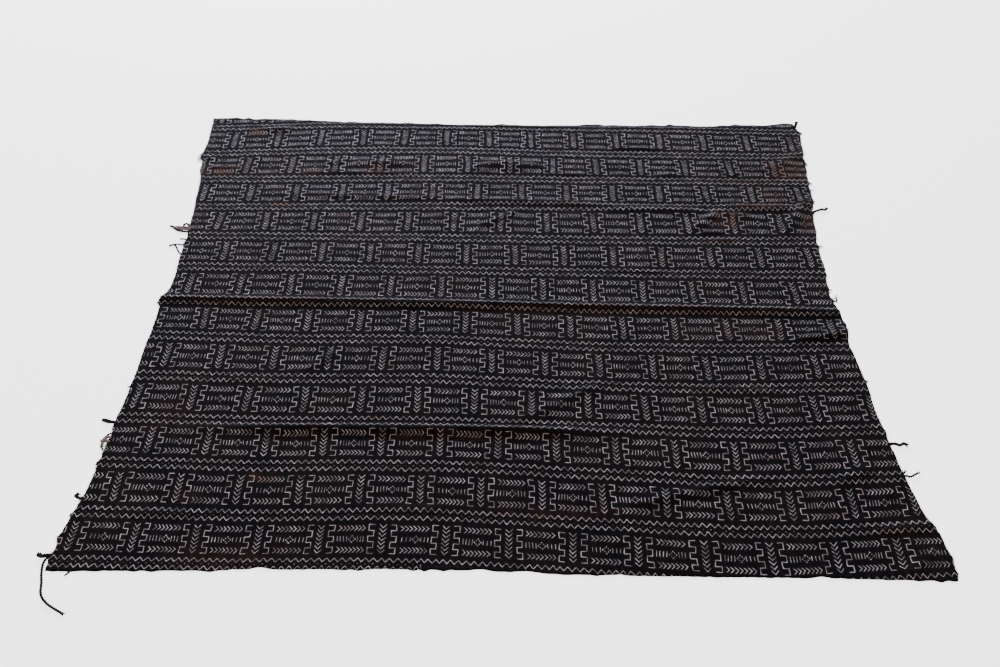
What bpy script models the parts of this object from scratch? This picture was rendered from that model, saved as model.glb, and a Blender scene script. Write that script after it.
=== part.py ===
# Bogolan mud cloth: thirteen narrow handwoven strips sewn edge to edge, lying on a floor with their
# folds, and the loose yarn at the strips' two cut ends.
# Lengths in the tables are in millimetres. X runs along the strips, Y away from the near edge and Z up.
# The floor is Z = 0, and the origin is the middle of the box around the cloth and its longest thread.

import math
import random
from collections import namedtuple

import bmesh
import bpy
from mathutils import Vector

MM = 0.001

CLOTH_THICKNESS = 2.0
PIECE_GAP = 0.3
END_BAND_WIDTH = 5.0  # the narrow band of loose yarn at each cut end
INWARDS = {"left": 1.0, "right": -1.0}  # the way along X from each end into the cloth
LINE_START = -840.0  # X of the first depth in a sewn line's row
LINE_END = 840.0  # X of the last
STEPS_ALONG = 60
# Rows of faces across a strip, from its near side to its far side, closer where the folds lie
STEPS_ACROSS = (0.0, 0.07, 0.16, 0.27, 0.42, 0.58, 0.74, 0.86, 0.94, 1.0)
FLAT_ANGLE = 0.08  # degrees under which neighbouring faces count as one flat face
WALL_FACES_OUT = -0.7  # an outer wall's normal has less than this along the way into the cloth

YARN_SIDE = 1.4  # a loose yarn is this thick
TIP_SHARE = 0.6  # of that thickness at a yarn's tip
SHORT_YARN_SPACING = 26.0
SPACING_SPREAD = (0.7, 1.3)  # least and most share of that spacing between two of them
SHORT_YARN_LENGTHS = (2.5, 7.0)
SHORT_YARN_SWING = 35.0  # degrees either way from straight out
ROOT_CLEARANCE = 4.0  # between the roots of two yarns
YARN_SEED = 12

# One row for each line across the cloth, from the far edge to the near one: the X of its left and
# right ends, how far the cloth's outline is tucked in halfway to the next line on each side, and the
# line's depth Y at six places spread evenly from LINE_START to LINE_END
Line = namedtuple("Line", "name left right left_tuck right_tuck depths")
LINES = (
    Line("far edge", -844, 834, 0, 0, (710, 701, 690, 689, 693, 705)),
    Line("seam 0", -840, 847, 3, 0, (664, 681, 682, 677, 675, 667)),
    Line("seam 1", -839, 831, 0, -2, (551, 567, 574, 564, 560, 559)),
    Line("seam 2", -818, 820, 0, -3, (443, 449, 456, 453, 452, 451)),
    Line("seam 3", -806, 808, 0, 1, (336, 340, 346, 348, 350, 352)),
    Line("seam 4", -798, 789, -1, 1, (231, 231, 230, 227, 226, 230)),
    Line("seam 5", -795, 783, 6, 6, (125, 124, 120, 116, 114, 115)),
    Line("seam 6", -804, 781, 1, -4, (16, 12, 12, 1, -3, -5)),
    Line("seam 7", -800, 780, -1, -1, (-84, -93, -92, -107, -111, -101)),
    Line("seam 8", -801, 789, 1, 2, (-195, -202, -200, -213, -220, -208)),
    Line("seam 9", -806, 792, 1, 2, (-304, -311, -309, -318, -328, -316)),
    Line("seam 10", -809, 801, 3, 3, (-407, -414, -411, -425, -440, -424)),
    Line("seam 11", -822, 821, -3, -6, (-514, -521, -516, -531, -545, -530)),
    Line("near edge", -835, 831, 0, 0, (-632, -628, -623, -631, -633, -636)),
)

# One row for each fold: its crest runs straight from start to end (X, Y), bowed towards its far side
# by bow. It rises to height and falls off over far on its far side and near on its near side.
Fold = namedtuple("Fold", "name start end bow height far near")
FOLDS = (
    Fold("middle seam", (-1500, 27), (1400, -17), 6, 10.0, 26, 27),
    Fold("ninth seam", (-760, -330), (350, -332), 5, 11.0, 18, 30),
    Fold("ninth seam branch", (0, -318), (245, -195), 0, 5.5, 26, 40),
    Fold("third seam left", (-680, 385), (60, 370), 0, 5.0, 28, 18),
    Fold("third seam middle", (-260, 375), (350, 351), 0, 6.5, 30, 26),
    Fold("third seam, right of middle", (220, 346), (560, 332), 0, 5.5, 26, 26),
    Fold("third seam right", (540, 352), (830, 346), 0, 6.0, 26, 28),
    Fold("second strip, left", (-440, 514), (-240, 512), 3, 6.0, 28, 28),
    Fold("second strip, middle", (-110, 494), (145, 488), 22, 9.5, 32, 42),
    Fold("second strip, right", (680, 490), (875, 600), -8, 5.0, 32, 44),
    Fold("first strip, left", (-735, 640), (-595, 662), 4, 6.0, 26, 30),
    Fold("fourth strip, crest", (470, 256), (572, 345), 0, 9.0, 26, 34),
    Fold("fourth strip, shoulder", (540, 338), (665, 296), 0, 6.0, 32, 32),
    Fold("right edge, long", (700, 222), (826, 410), 8, 9.5, 28, 32),
    Fold("right edge, low", (630, -92), (860, -52), 0, 8.0, 46, 22),
    Fold("tenth strip, right", (190, -508), (575, -424), 5, 6.0, 20, 26),
    Fold("tenth strip, corner", (650, -445), (755, -398), 0, 5.5, 26, 30),
    Fold("eleventh seam, right", (680, -545), (870, -522), 0, 5.0, 20, 22),
    Fold("near right corner", (725, -635), (825, -570), 0, 6.0, 26, 26),
    Fold("eighth strip, left", (-445, -190), (-355, -118), 0, 5.5, 18, 24),
    Fold("fourth strip, middle", (-90, 256), (70, 346), 0, 6.0, 20, 22),
)
FOLD_TAPER = 0.3  # share of a fold's length over which each end runs out
CREST_KEENNESS = 0.7  # 0 is a round crest, 1 a sharp one
FLAT_BELOW = 0.02  # a lift smaller than this lies flat

# The longer loose yarns. A row has the side, the Y of the root, and the plan points (X, Y) that the
# yarn passes through beyond it.
LooseYarn = namedtuple("LooseYarn", "name side root_y route")
LOOSE_YARNS = (
    LooseYarn("corner stub", "left", -603, ((-849, -604), (-858, -600))),
    LooseYarn(
        "long thread",
        "left",
        -611,
        ((-841, -620), (-838, -638), (-832, -654), (-825, -675), (-810, -690), (-790, -701), (-770, -710)),
    ),
    LooseYarn("knotted stub", "left", -317, ((-819, -316), (-834, -310))),
    LooseYarn("frayed end", "left", -345, ((-814, -352), (-818, -366), (-816, -379))),
    LooseYarn("lower stub", "left", -488, ((-827, -487), (-830, -481))),
    LooseYarn("double thread, far", "left", 260, ((-822, 257), (-838, 259), (-849, 262))),
    LooseYarn("double thread, near", "left", 243, ((-822, 245), (-835, 252))),
    LooseYarn("forked thread", "left", 166, ((-811, 182), (-820, 193), (-833, 194))),
    LooseYarn("upper hanging thread", "right", 330, ((815, 337), (830, 343), (838, 341), (846, 350))),
    LooseYarn("middle hanging thread", "right", -352, ((811, -356), (821, -352), (829, -357))),
    LooseYarn("lower hanging thread", "right", -424, ((812, -427), (822, -422), (833, -417))),
    LooseYarn("upper stub", "right", 421, ((832, 423),)),
    LooseYarn("corner thread", "right", 690, ((842, 699), (847, 711))),
)

DYED_COTTON = (0.016, 0.015, 0.016, 1.0)
YARN_COTTON = (0.03, 0.027, 0.026, 1.0)
COTTON_ROUGHNESS = 0.9


def blend(a, b, share):
    return a + (b - a) * share


def eased(share):
    """0 to 1 with a level start and finish."""
    share = min(max(share, 0.0), 1.0)
    return share * share * (3.0 - 2.0 * share)


def depth(line, x):
    """The Y of a line at x, on a smooth curve through its six depths."""
    last = len(line.depths) - 1
    place = (x - LINE_START) / (LINE_END - LINE_START) * last
    first = min(max(int(place), 0), last - 1)
    before, start, end, after = (
        line.depths[min(max(number, 0), last)] for number in range(first - 1, first + 3)
    )
    t = place - first
    return (
        start
        + 0.5 * (end - before) * t
        + (before - 2.5 * start + 2.0 * end - 0.5 * after) * t**2
        + (1.5 * (start - end) + 0.5 * (after - before)) * t**3
    )


def fold_lift(fold, x, y):
    """How high one fold lifts the cloth at (x, y)."""
    run_x = fold.end[0] - fold.start[0]
    run_y = fold.end[1] - fold.start[1]
    length = math.hypot(run_x, run_y)
    from_x = x - fold.start[0]
    from_y = y - fold.start[1]
    along = (from_x * run_x + from_y * run_y) / length**2
    if not 0.0 < along < 1.0:
        return 0.0
    aside = (from_y * run_x - from_x * run_y) / length - fold.bow * 4.0 * along * (1.0 - along)
    slope_share = 1.0 - abs(aside) / (fold.far if aside > 0.0 else fold.near)
    if slope_share <= 0.0:
        return 0.0
    run_out = eased(min(along, 1.0 - along) / FOLD_TAPER)
    crest = eased(slope_share) * blend(1.0, slope_share, CREST_KEENNESS)
    return fold.height * run_out * crest


def lift(x, y):
    """Height of the cloth's underside above the floor at (x, y). Crossing folds don't add up."""
    raised = max(fold_lift(fold, x, y) for fold in FOLDS)
    return raised if raised > FLAT_BELOW else 0.0


def point(x, y, z):
    return Vector((x, y, z)) * MM


def cotton(name, colour):
    material = bpy.data.materials.new(name)
    material.use_nodes = True
    shader = material.node_tree.nodes["Principled BSDF"]
    shader.inputs["Base Color"].default_value = colour
    shader.inputs["Roughness"].default_value = COTTON_ROUGHNESS
    shader.inputs["Metallic"].default_value = 0.0
    return material


def sheet_of(plan, columns, rows):
    """A sheet of cloth over a grid of faces. plan(column, row) gives a grid point's (x, y). The sheet
    follows the folds and is extruded straight down, so that the gaps beside it stay even on a slope."""
    shape = bmesh.new()
    bmesh.ops.create_grid(shape, x_segments=columns, y_segments=rows, size=1.0)
    for vert in shape.verts:
        column = round((vert.co.x + 1.0) / 2.0 * columns)
        row = round((vert.co.y + 1.0) / 2.0 * rows)
        x, y = plan(column, row)
        vert.co = point(x, y, lift(x, y) + CLOTH_THICKNESS)
    top = shape.faces[:]
    under = bmesh.ops.extrude_face_region(shape, geom=top, use_keep_orig=True)
    under_verts = [item for item in under["geom"] if isinstance(item, bmesh.types.BMVert)]
    bmesh.ops.translate(shape, verts=under_verts, vec=point(0.0, 0.0, -CLOTH_THICKNESS))
    bmesh.ops.recalc_face_normals(shape, faces=shape.faces)
    return shape


def finish(shape, name, material, collection):
    mesh = bpy.data.meshes.new(name)
    shape.to_mesh(mesh)
    shape.free()
    mesh.materials.append(material)
    piece = bpy.data.objects.new(name, mesh)
    collection.objects.link(piece)
    merge_flats = piece.modifiers.new("merge flats", "DECIMATE")
    merge_flats.decimate_type = "DISSOLVE"
    merge_flats.angle_limit = math.radians(FLAT_ANGLE)
    return piece


def end_x(number, side, across):
    """The X of one end of a strip, at a share of the way from its near line to its far one."""
    near_x = getattr(LINES[number + 1], side)
    far_x = getattr(LINES[number], side)
    tuck = getattr(LINES[number], f"{side}_tuck") * 4.0 * across * (1.0 - across)
    return blend(near_x, far_x, across) + INWARDS[side] * tuck


def add_strip(number, material, collection):
    """A woven strip between two lines, between the two bands of loose yarn."""
    far_line = LINES[number]
    near_line = LINES[number + 1]
    in_from_end = END_BAND_WIDTH + PIECE_GAP

    def plan(column, row):
        across = STEPS_ACROSS[row]
        left = end_x(number, "left", across) + in_from_end
        right = end_x(number, "right", across) - in_from_end
        x = blend(left, right, column / STEPS_ALONG)
        near_y = depth(near_line, x)
        far_y = depth(far_line, x) - PIECE_GAP
        return x, blend(near_y, far_y, across)

    shape = sheet_of(plan, STEPS_ALONG, len(STEPS_ACROSS) - 1)
    finish(shape, f"strip_{number:02d}", material, collection)


def line_ends(side):
    """The depth of every line where it meets the cloth's left or right outline."""
    return [depth(line, getattr(line, side)) for line in LINES]


def outline_x(side, y):
    """The X of the cloth's left or right outline at depth y."""
    depths = line_ends(side)
    number = 0
    while number < len(LINES) - 2 and y < depths[number + 1]:
        number += 1
    near_y = depths[number + 1]
    across = (y - near_y) / (depths[number] - near_y)
    return end_x(number, side, min(max(across, 0.0), 1.0))


def short_yarns(side, taken):
    """The frayed ends between the longer yarns, each cut to its own length and angle."""
    chance = random.Random(f"{side} {YARN_SEED}")
    depths = line_ends(side)
    yarns = []
    y = depths[-1] + SHORT_YARN_SPACING / 2.0
    while y < depths[0] - ROOT_CLEARANCE:
        length = chance.uniform(*SHORT_YARN_LENGTHS)
        swing = math.radians(chance.uniform(-SHORT_YARN_SWING, SHORT_YARN_SWING))
        if all(abs(y - other) > ROOT_CLEARANCE for other in taken):
            tip_x = outline_x(side, y) - INWARDS[side] * length * math.cos(swing)
            yarns.append(LooseYarn("short", side, y, ((tip_x, y + length * math.sin(swing)),)))
        y += SHORT_YARN_SPACING * chance.uniform(*SPACING_SPREAD)
    return yarns


def grow_yarn(shape, wall, yarn):
    """Extrudes one four-sided yarn out of a wall face, down to the floor and along its route."""
    root = wall.calc_center_median()
    corners = list(wall.verts)
    heading = (point(*yarn.route[0], 0.0) - root).xy.normalized().to_3d()
    aside = Vector((-heading.y, heading.x, 0.0))
    stations = [root.xy] + [point(x, y, 0.0).xy for x, y in yarn.route]
    for number in range(1, len(stations)):
        wall = bmesh.ops.extrude_discrete_faces(shape, faces=[wall])["faces"][0]
        moved = list(wall.verts)
        before = stations[number] - stations[number - 1]
        after = stations[min(number + 1, len(stations) - 1)] - stations[number]
        turned = (before.normalized() + after.normalized()).to_3d()
        across = Vector((-turned.y, turned.x, 0.0)).normalized()
        side = YARN_SIDE * MM * (TIP_SHARE if number == len(stations) - 1 else 1.0)
        for vert in moved:
            partner = min(corners, key=lambda corner: (corner.co - vert.co).length)
            left_or_right = 0.5 if (partner.co - root).dot(aside) > 0.0 else -0.5
            height = side if partner.co.z > root.z else 0.0
            vert.co = stations[number].to_3d() + across * side * left_or_right + Vector((0.0, 0.0, height))
        corners = moved
        root = wall.calc_center_median()
        aside = across


def add_end_band(side, material, collection):
    """The narrow band at one cut end of the strips, with every loose yarn of that end growing out of it."""
    loose = [yarn for yarn in LOOSE_YARNS if yarn.side == side]
    yarns = loose + short_yarns(side, [yarn.root_y for yarn in loose])
    half_root = YARN_SIDE / 2.0
    depths = line_ends(side)
    even = {blend(near, far, across) for far, near in zip(depths, depths[1:]) for across in STEPS_ACROSS}
    stations = {y for y in even if all(abs(y - yarn.root_y) > half_root for yarn in yarns)}
    stations |= {yarn.root_y + offset for yarn in yarns for offset in (-half_root, half_root)}
    stations = sorted(stations)

    def plan(column, row):
        y = stations[row]
        outer = outline_x(side, y)
        inner = outer + INWARDS[side] * END_BAND_WIDTH
        left, right = sorted((outer, inner))
        return (right if column else left), y

    shape = sheet_of(plan, 1, len(stations) - 1)
    outer_walls = [face for face in shape.faces if face.normal.x * INWARDS[side] < WALL_FACES_OUT]
    for yarn in yarns:
        wall = min(outer_walls, key=lambda face: abs(face.calc_center_median().y - yarn.root_y * MM))
        grow_yarn(shape, wall, yarn)
        outer_walls.remove(wall)
    bmesh.ops.recalc_face_normals(shape, faces=shape.faces)
    finish(shape, f"{side}_ends", material, collection)


def main():
    for old in list(bpy.data.objects):
        bpy.data.objects.remove(old, do_unlink=True)
    collection = bpy.data.collections.new("bogolan mud cloth")
    bpy.context.scene.collection.children.link(collection)
    dyed = cotton("dyed cotton", DYED_COTTON)
    yarn = cotton("loose yarn", YARN_COTTON)
    for number in range(len(LINES) - 1):
        add_strip(number, dyed, collection)
    for side in ("left", "right"):
        add_end_band(side, yarn, collection)


main()
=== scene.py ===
import math
import random
from functools import partial

import bpy
import numpy as np
from mathutils import Matrix, Vector


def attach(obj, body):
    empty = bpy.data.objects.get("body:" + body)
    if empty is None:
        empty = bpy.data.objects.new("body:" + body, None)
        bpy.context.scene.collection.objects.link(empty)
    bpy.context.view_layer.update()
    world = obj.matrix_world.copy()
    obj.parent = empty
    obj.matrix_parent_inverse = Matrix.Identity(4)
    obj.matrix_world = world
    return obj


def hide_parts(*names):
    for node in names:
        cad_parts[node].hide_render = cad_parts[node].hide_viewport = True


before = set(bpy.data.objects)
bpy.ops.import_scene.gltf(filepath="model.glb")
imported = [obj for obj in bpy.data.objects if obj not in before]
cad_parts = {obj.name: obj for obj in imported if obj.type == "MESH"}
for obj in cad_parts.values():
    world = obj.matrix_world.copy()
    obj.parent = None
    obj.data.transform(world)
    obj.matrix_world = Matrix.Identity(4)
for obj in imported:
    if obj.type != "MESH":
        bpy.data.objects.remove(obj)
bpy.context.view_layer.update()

mm = 0.001

# A laid bogolan mud cloth: narrow handwoven strips sewn edge to edge. Lengths in the tables are in mm,
# X runs along the strips, Y from the near edge to the far one, and the floor is Z = 0.

camera = {
    "place": (-0.00775, -1.13446, 1.36773),
    "below horizon": 52.175,
    "roll": 0.5,
    "lens": 27.36,
}

# Sewn lines, far to near: left and right ends, tuck of the outline up to the next line on each side,
# then the Y at six places from X -840 to 840
sewnLines = (
    (-844, 834, 0, 0, (710, 701, 690, 689, 693, 705)),
    (-840, 847, 3, 0, (664, 681, 682, 677, 675, 667)),
    (-839, 831, 0, -2, (551, 567, 574, 564, 560, 559)),
    (-818, 820, 0, -3, (443, 449, 456, 453, 452, 451)),
    (-806, 808, 0, 1, (336, 340, 346, 348, 350, 352)),
    (-798, 789, -1, 1, (231, 231, 230, 227, 226, 230)),
    (-795, 783, 6, 6, (125, 124, 120, 116, 114, 115)),
    (-804, 781, 1, -4, (16, 12, 12, 1, -3, -5)),
    (-800, 780, -1, -1, (-84, -93, -92, -107, -111, -101)),
    (-801, 789, 1, 2, (-195, -202, -200, -213, -220, -208)),
    (-806, 792, 1, 2, (-304, -311, -309, -318, -328, -316)),
    (-809, 801, 3, 3, (-407, -414, -411, -425, -440, -424)),
    (-822, 821, -3, -6, (-514, -521, -516, -531, -545, -530)),
    (-835, 831, 0, 0, (-632, -628, -623, -631, -633, -636)),
)
nearDrawnLine = (-613, -617, -615, -631, -650, -632)  # the near strip's drawing runs on to this line

# Folds: crest from (x, y) to (x, y), bow to the far side, height, fall-off on the far and near sides
folds = (
    ((-1500, 27), (1400, -17), 6, 10.0, 26, 27),
    ((-760, -330), (350, -332), 5, 11.0, 18, 30),
    ((0, -318), (245, -195), 0, 5.5, 26, 40),
    ((-680, 385), (60, 370), 0, 5.0, 28, 18),
    ((-260, 375), (350, 351), 0, 6.5, 30, 26),
    ((220, 346), (560, 332), 0, 5.5, 26, 26),
    ((540, 352), (830, 346), 0, 6.0, 26, 28),
    ((-440, 514), (-240, 512), 3, 6.0, 28, 28),
    ((-110, 494), (145, 488), 22, 9.5, 32, 42),
    ((680, 490), (875, 600), -8, 5.0, 32, 44),
    ((-735, 640), (-595, 662), 4, 6.0, 26, 30),
    ((470, 256), (572, 345), 0, 9.0, 26, 34),
    ((540, 338), (665, 296), 0, 6.0, 32, 32),
    ((700, 222), (826, 410), 8, 9.5, 28, 32),
    ((630, -92), (860, -52), 0, 8.0, 46, 22),
    ((190, -508), (575, -424), 5, 6.0, 20, 26),
    ((650, -445), (755, -398), 0, 5.5, 26, 30),
    ((680, -545), (870, -522), 0, 5.0, 20, 22),
    ((725, -635), (825, -570), 0, 6.0, 26, 26),
    ((-445, -190), (-355, -118), 0, 5.5, 18, 24),
    ((-90, 256), (70, 346), 0, 6.0, 20, 22),
    # the small creases between them
    ((-505, 500), (-425, 530), 0, 4.5, 18, 16),
    ((-820, 492), (-690, 486), 0, 3.5, 22, 22),
    ((-560, 487), (-470, 485), 0, 3.5, 18, 16),
    ((-55, -165), (-12, -142), 0, 3.0, 14, 16),
    ((480, 255), (570, 257), 0, 5.0, 18, 14),
    ((505, 225), (595, 228), 0, 4.0, 15, 18),
    ((280, 586), (470, 582), 0, 4.5, 20, 12),
    ((-380, 588), (-300, 588), 0, 3.0, 15, 12),
    ((-600, 475), (-170, 470), 0, 3.5, 18, 12),
    ((60, 470), (250, 476), 0, 3.5, 16, 12),
    ((400, 486), (500, 470), 0, 3.5, 16, 14),
    ((478, 560), (482, 700), 0, 2.0, 12, 12),
    ((520, 335), (530, 395), 0, 3.0, 12, 12),
    ((-30, 268), (40, 300), 0, 3.0, 14, 16),
    ((600, 470), (690, 500), 0, 3.5, 16, 14),
    ((-845, 540), (-790, 516), 0, 3.5, 18, 20),
    ((-300, -505), (-80, -503), 0, 3.0, 16, 14),
    ((-760, -515), (-560, -522), 0, 3.0, 16, 14),
    ((90, -50), (210, -32), 0, 2.5, 14, 12),
    ((-640, 120), (-480, 118), 0, 2.5, 14, 12),
    ((240, 130), (430, 112), 0, 2.5, 14, 12),
    ((-250, -95), (-90, -100), 0, 2.5, 12, 12),
    ((380, -218), (620, -226), 0, 3.0, 14, 14),
    ((-620, -205), (-470, -208), 0, 2.5, 12, 12),
)

# Lumps of the outline: where along it, how far it stands out there, and half the lump's length
leftLumps = (
    (700, 1.5, 8), (652, 1.0, 14), (632, 1.5, 12), (540, 3.0, 8), (528, 4.5, 9), (482, 3.5, 10),
    (370, 1.0, 18), (262, 2.0, 8), (215, -1.0, 8), (196, 1.0, 8), (62, -1.5, 10), (44, 1.5, 9),
    (27, 2.0, 7), (8, 4.5, 7), (-6, 1.0, 9), (-120, 1.5, 14), (-180, -1.0, 15), (-228, 1.0, 6),
    (-300, 1.5, 10), (-328, 2.5, 9), (-347, -1.5, 8), (-381, 3.0, 8), (-413, 6.0, 8), (-423, 1.0, 4),
    (-497, 1.5, 7), (-524, 3.5, 6), (-538, -1.0, 8), (-569, 3.5, 7), (-584, -1.5, 7), (-602, 4.0, 6),
)
rightLumps = (
    (660, 6.0, 8), (636, 3.0, 14), (595, 3.0, 16), (564, 3.0, 9), (553, -2.0, 9), (527, 4.0, 11),
    (500, 1.0, 9), (483, -1.5, 8), (447, 5.0, 7), (430, -1.0, 8), (374, 3.0, 9), (345, 2.0, 9),
    (333, -1.0, 7), (318, 1.0, 8), (270, 1.5, 12), (226, -2.0, 10), (206, 2.0, 9), (154, 1.5, 7),
    (137, 2.5, 5), (110, 1.5, 10), (68, 1.5, 8), (52, -1.5, 9), (18, 2.5, 9), (-24, 0.5, 9),
    (-42, 4.0, 8), (-88, -1.5, 10), (-198, 3.0, 4), (-232, 1.0, 16), (-270, -1.5, 12), (-326, 2.5, 10),
    (-376, 2.0, 10), (-400, 1.0, 7), (-416, 1.5, 4), (-535, 1.5, 9), (-552, 2.5, 12), (-592, 4.0, 13),
    (-619, 2.5, 7),
)
farLumps = (
    (-800, 2.0, 14), (-778, 4.0, 12), (-744, 6.0, 8), (-690, 3.0, 24), (-650, 3.0, 30), (-615, 3.5, 12),
    (-568, 2.0, 14), (-505, -1.0, 14), (-465, -4.0, 16), (-410, -3.0, 30), (-280, 3.0, 18),
    (-200, 2.5, 14), (-130, -1.5, 24), (-8, 5.0, 13), (30, 2.0, 14), (120, -1.0, 22), (240, 6.0, 22),
    (270, 6.0, 14), (310, 3.0, 22), (425, 4.0, 22), (478, 7.0, 10), (497, 1.5, 8), (560, -4.0, 28),
    (600, -4.0, 22), (650, -3.0, 16), (666, 3.5, 12), (700, -2.0, 22), (748, -5.0, 24), (812, 5.0, 20),
)
nearLumps = (
    (-822, 1.5, 6), (-806, 1.0, 5), (-788, 2.0, 9), (-745, 1.0, 12), (-672, 1.5, 7), (-640, 2.5, 8),
    (-590, 1.0, 12), (-536, 3.0, 12), (-490, -2.0, 12), (-444, -5.0, 20), (-290, 2.0, 12),
    (-262, 3.0, 12), (-195, 0.5, 14), (-163, 3.0, 7), (-142, 3.5, 7), (-108, 2.5, 8), (-40, -3.5, 18),
    (45, -3.0, 22), (120, 1.0, 10), (172, 1.5, 7), (215, -2.0, 16), (395, 1.0, 14), (585, -3.5, 14),
    (617, -1.5, 10), (705, 1.0, 12), (760, 2.0, 9), (800, 3.0, 8), (826, 1.5, 6),
)

cloth = {
    "grid along": 4.0,
    "grid across": 3.5,
    "least width": 40.0,  # for which the far strip's grid is made
    "thickness": 1.9,
    "top": 2.0,  # of the upper face where the cloth lies flat
    "fold taper": 0.3,
    "crest keenness": 0.7,
    "overlap": 0.15,  # of two strips at their seam
    "row crowding": 0.30,
    "seam groove": 0.7,
    "groove width": 1.6,
    "selvedge ridge": 0.35,
    "ridge place": 3.2,  # from the seam
    "ridge width": 1.6,
    "pucker": 0.55,
    "pucker reach": 16.0,  # how far from the seam
    "pucker length": 17.0,
    "waviness": 0.9,
    "slack length": 150.0,
    "crumple length": 52.0,
    "hem rise": 1.1,
    "hem depth": 17.0,
    "hem bend": 1.6,
    "ragged": 0.8,  # how far the cut ends wander
}

# Each strip's first arrow column, the distance between its columns, and how far its drawing slips to
# the right at the same six places, because it was drawn by hand
arrowColumns = (
    (-817, 120.0, (0, 0, 0, 0, 0, 0)),
    (-763, 121.0, (1, 0, -5, -10, -7, 0)),
    (-707, 120.3, (4, 5, 6, -3, -1, 1)),
    (-795, 121.2, (0, 1, -1, -8, -3, 1)),
    (-727.6, 119.6, (-3, 1, 2, 1, 2, 2)),
    (-692, 120.6, (0, 0, -2, -4, -2, 0)),
    (-750, 120.2, (0, 1, 0, 2, -3, 2)),
    (-689, 120.3, (2, -2, -1, 0, -2, -2)),
    (-747.5, 120.0, (-2, 0, 1, 0, -5, 2)),
    (-786, 120.5, (4, 1, 2, 3, 2, 2)),
    (-727.5, 119.8, (6, 4, 0, -1, 1, 2)),
    (-760, 119.6, (3, 4, 2, -1, 4, 5)),
    (-828.5, 120.0, (20, 10, 2, 1, 9, 10)),
)


# Places painted reddish brown, partly rusty dye and, on the fold slopes that face the near side, painted
# warm shade: middle (x, y), half its length, half its depth, strength
rustAndFoldShadePlaces = (
    (-770, 478, 60, 24, 0.9), (-700, 641, 30, 12, 0.8), (-530, 478, 42, 12, 0.7),
    (-357, 487, 30, 28, 0.6), (-285, 478, 38, 10, 0.5), (-795, 318, 24, 34, 0.5), (-580, 347, 30, 9, 0.7),
    (775, 500, 62, 42, 0.9), (800, 575, 32, 22, 0.5), (650, 453, 76, 12, 0.6), (668, 352, 66, 10, 1.0),
    (715, 402, 40, 30, 0.5), (577, 302, 36, 30, 1.0), (790, 305, 30, 48, 0.7), (550, 226, 42, 10, 0.7),
    (-478, -440, 28, 10, 1.0), (-620, -482, 34, 12, 0.6), (300, -5, 420, 12, 0.5),
    (-560, 14, 160, 12, 0.4), (120, -510, 150, 10, 0.5), (-700, -305, 60, 40, 0.4),
    (-120, -342, 130, 12, 0.6), (560, -60, 90, 22, 0.4), (-500, -600, 120, 22, 0.4),
)


def eased(share):
    share = np.clip(share, 0.0, 1.0)
    return share * share * (3.0 - 2.0 * share)


def curveThrough(before, start, end, after, t):  # a smooth curve from start to end
    return (
        start
        + 0.5 * (end - before) * t
        + (before - 2.5 * start + 2.0 * end - 0.5 * after) * t**2
        + (1.5 * (start - end) + 0.5 * (after - before)) * t**3
    )


def lineDepth(depths, x):  # a smooth curve through the six depths
    places = (np.asarray(x, float) + 840.0) / 336.0
    first = np.clip(places.astype(int), 0, 4)
    rows = np.array(depths, float)
    four = (rows[np.clip(first + step, 0, 5)] for step in (-1, 0, 1, 2))
    return curveThrough(*four, places - first)


# Each end of the strips: its place in the table of sewn lines, and the way inwards
stripEnds = {"left": (0, 1.0), "right": (1, -1.0)}


def endDepth(line, side):  # Y of a sewn line at its left or right end
    return float(lineDepth(line[4], line[stripEnds[side][0]]))


def foldHeight(x, y):  # of the cloth's underside above the floor
    highest = np.zeros(np.shape(x))
    for start, end, bow, height, far, near in folds:
        runX, runY = end[0] - start[0], end[1] - start[1]
        length = math.hypot(runX, runY)
        along = ((x - start[0]) * runX + (y - start[1]) * runY) / length**2
        aside = ((y - start[1]) * runX - (x - start[0]) * runY) / length - bow * 4.0 * along * (1.0 - along)
        share = 1.0 - np.abs(aside) / np.where(aside > 0.0, far, near)
        keen = 1.0 + (np.clip(share, 0.0, 1.0) - 1.0) * cloth["crest keenness"]
        ends = eased(np.minimum(along, 1.0 - along) / cloth["fold taper"])
        highest = np.maximum(highest, height * ends * eased(share) * keen)
    return highest


def ripple(x, y, wavelength, seed):  # uneven waves between about -1 and 1
    chance = random.Random(seed)
    total = 0.0
    for _ in range(7):
        turn = chance.uniform(0.0, math.tau)
        reach = wavelength * chance.uniform(0.7, 1.5)
        total = total + np.cos(
            (x * math.cos(turn) + y * math.sin(turn)) * math.tau / reach + chance.uniform(0.0, math.tau)
        )
    return total / 4.0


def clothTop(x, y):  # height of the upper face, before seams and selvedges
    slack = 0.5 + 0.5 * ripple(x, y, cloth["slack length"], "slack")
    where = 0.3 + 0.7 * np.clip(ripple(x, y, 210.0, "where"), 0.0, 1.0)
    crumple = ripple(x, y, cloth["crumple length"], "crumple") * where
    wave = cloth["waviness"] * (0.75 * np.clip(slack, 0.0, 1.2) + 0.45 * np.clip(crumple, 0.0, 1.0))
    return cloth["top"] + foldHeight(x, y) + wave


def lumpsAt(lumps, place):
    return sum(out * np.exp(-(((place - middle) / reach) ** 2)) for middle, out, reach in lumps)


def endX(number, side, across):  # of the cloth's outline, across runs 0 to 1 from the near line
    nearLine, farLine = sewnLines[number + 1], sewnLines[number]
    place, inwards = stripEnds[side]
    tuck = farLine[2 + place] * 4.0 * across * (1.0 - across)
    x = nearLine[place] + (farLine[place] - nearLine[place]) * across + inwards * tuck
    y = endDepth(nearLine, side) + (endDepth(farLine, side) - endDepth(nearLine, side)) * across
    lumps = leftLumps if side == "left" else rightLumps
    uneven = lumpsAt(lumps, y) + cloth["ragged"] * ripple(y, 0.0, 10.0, f"{side} end")
    return x - inwards * uneven


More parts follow.
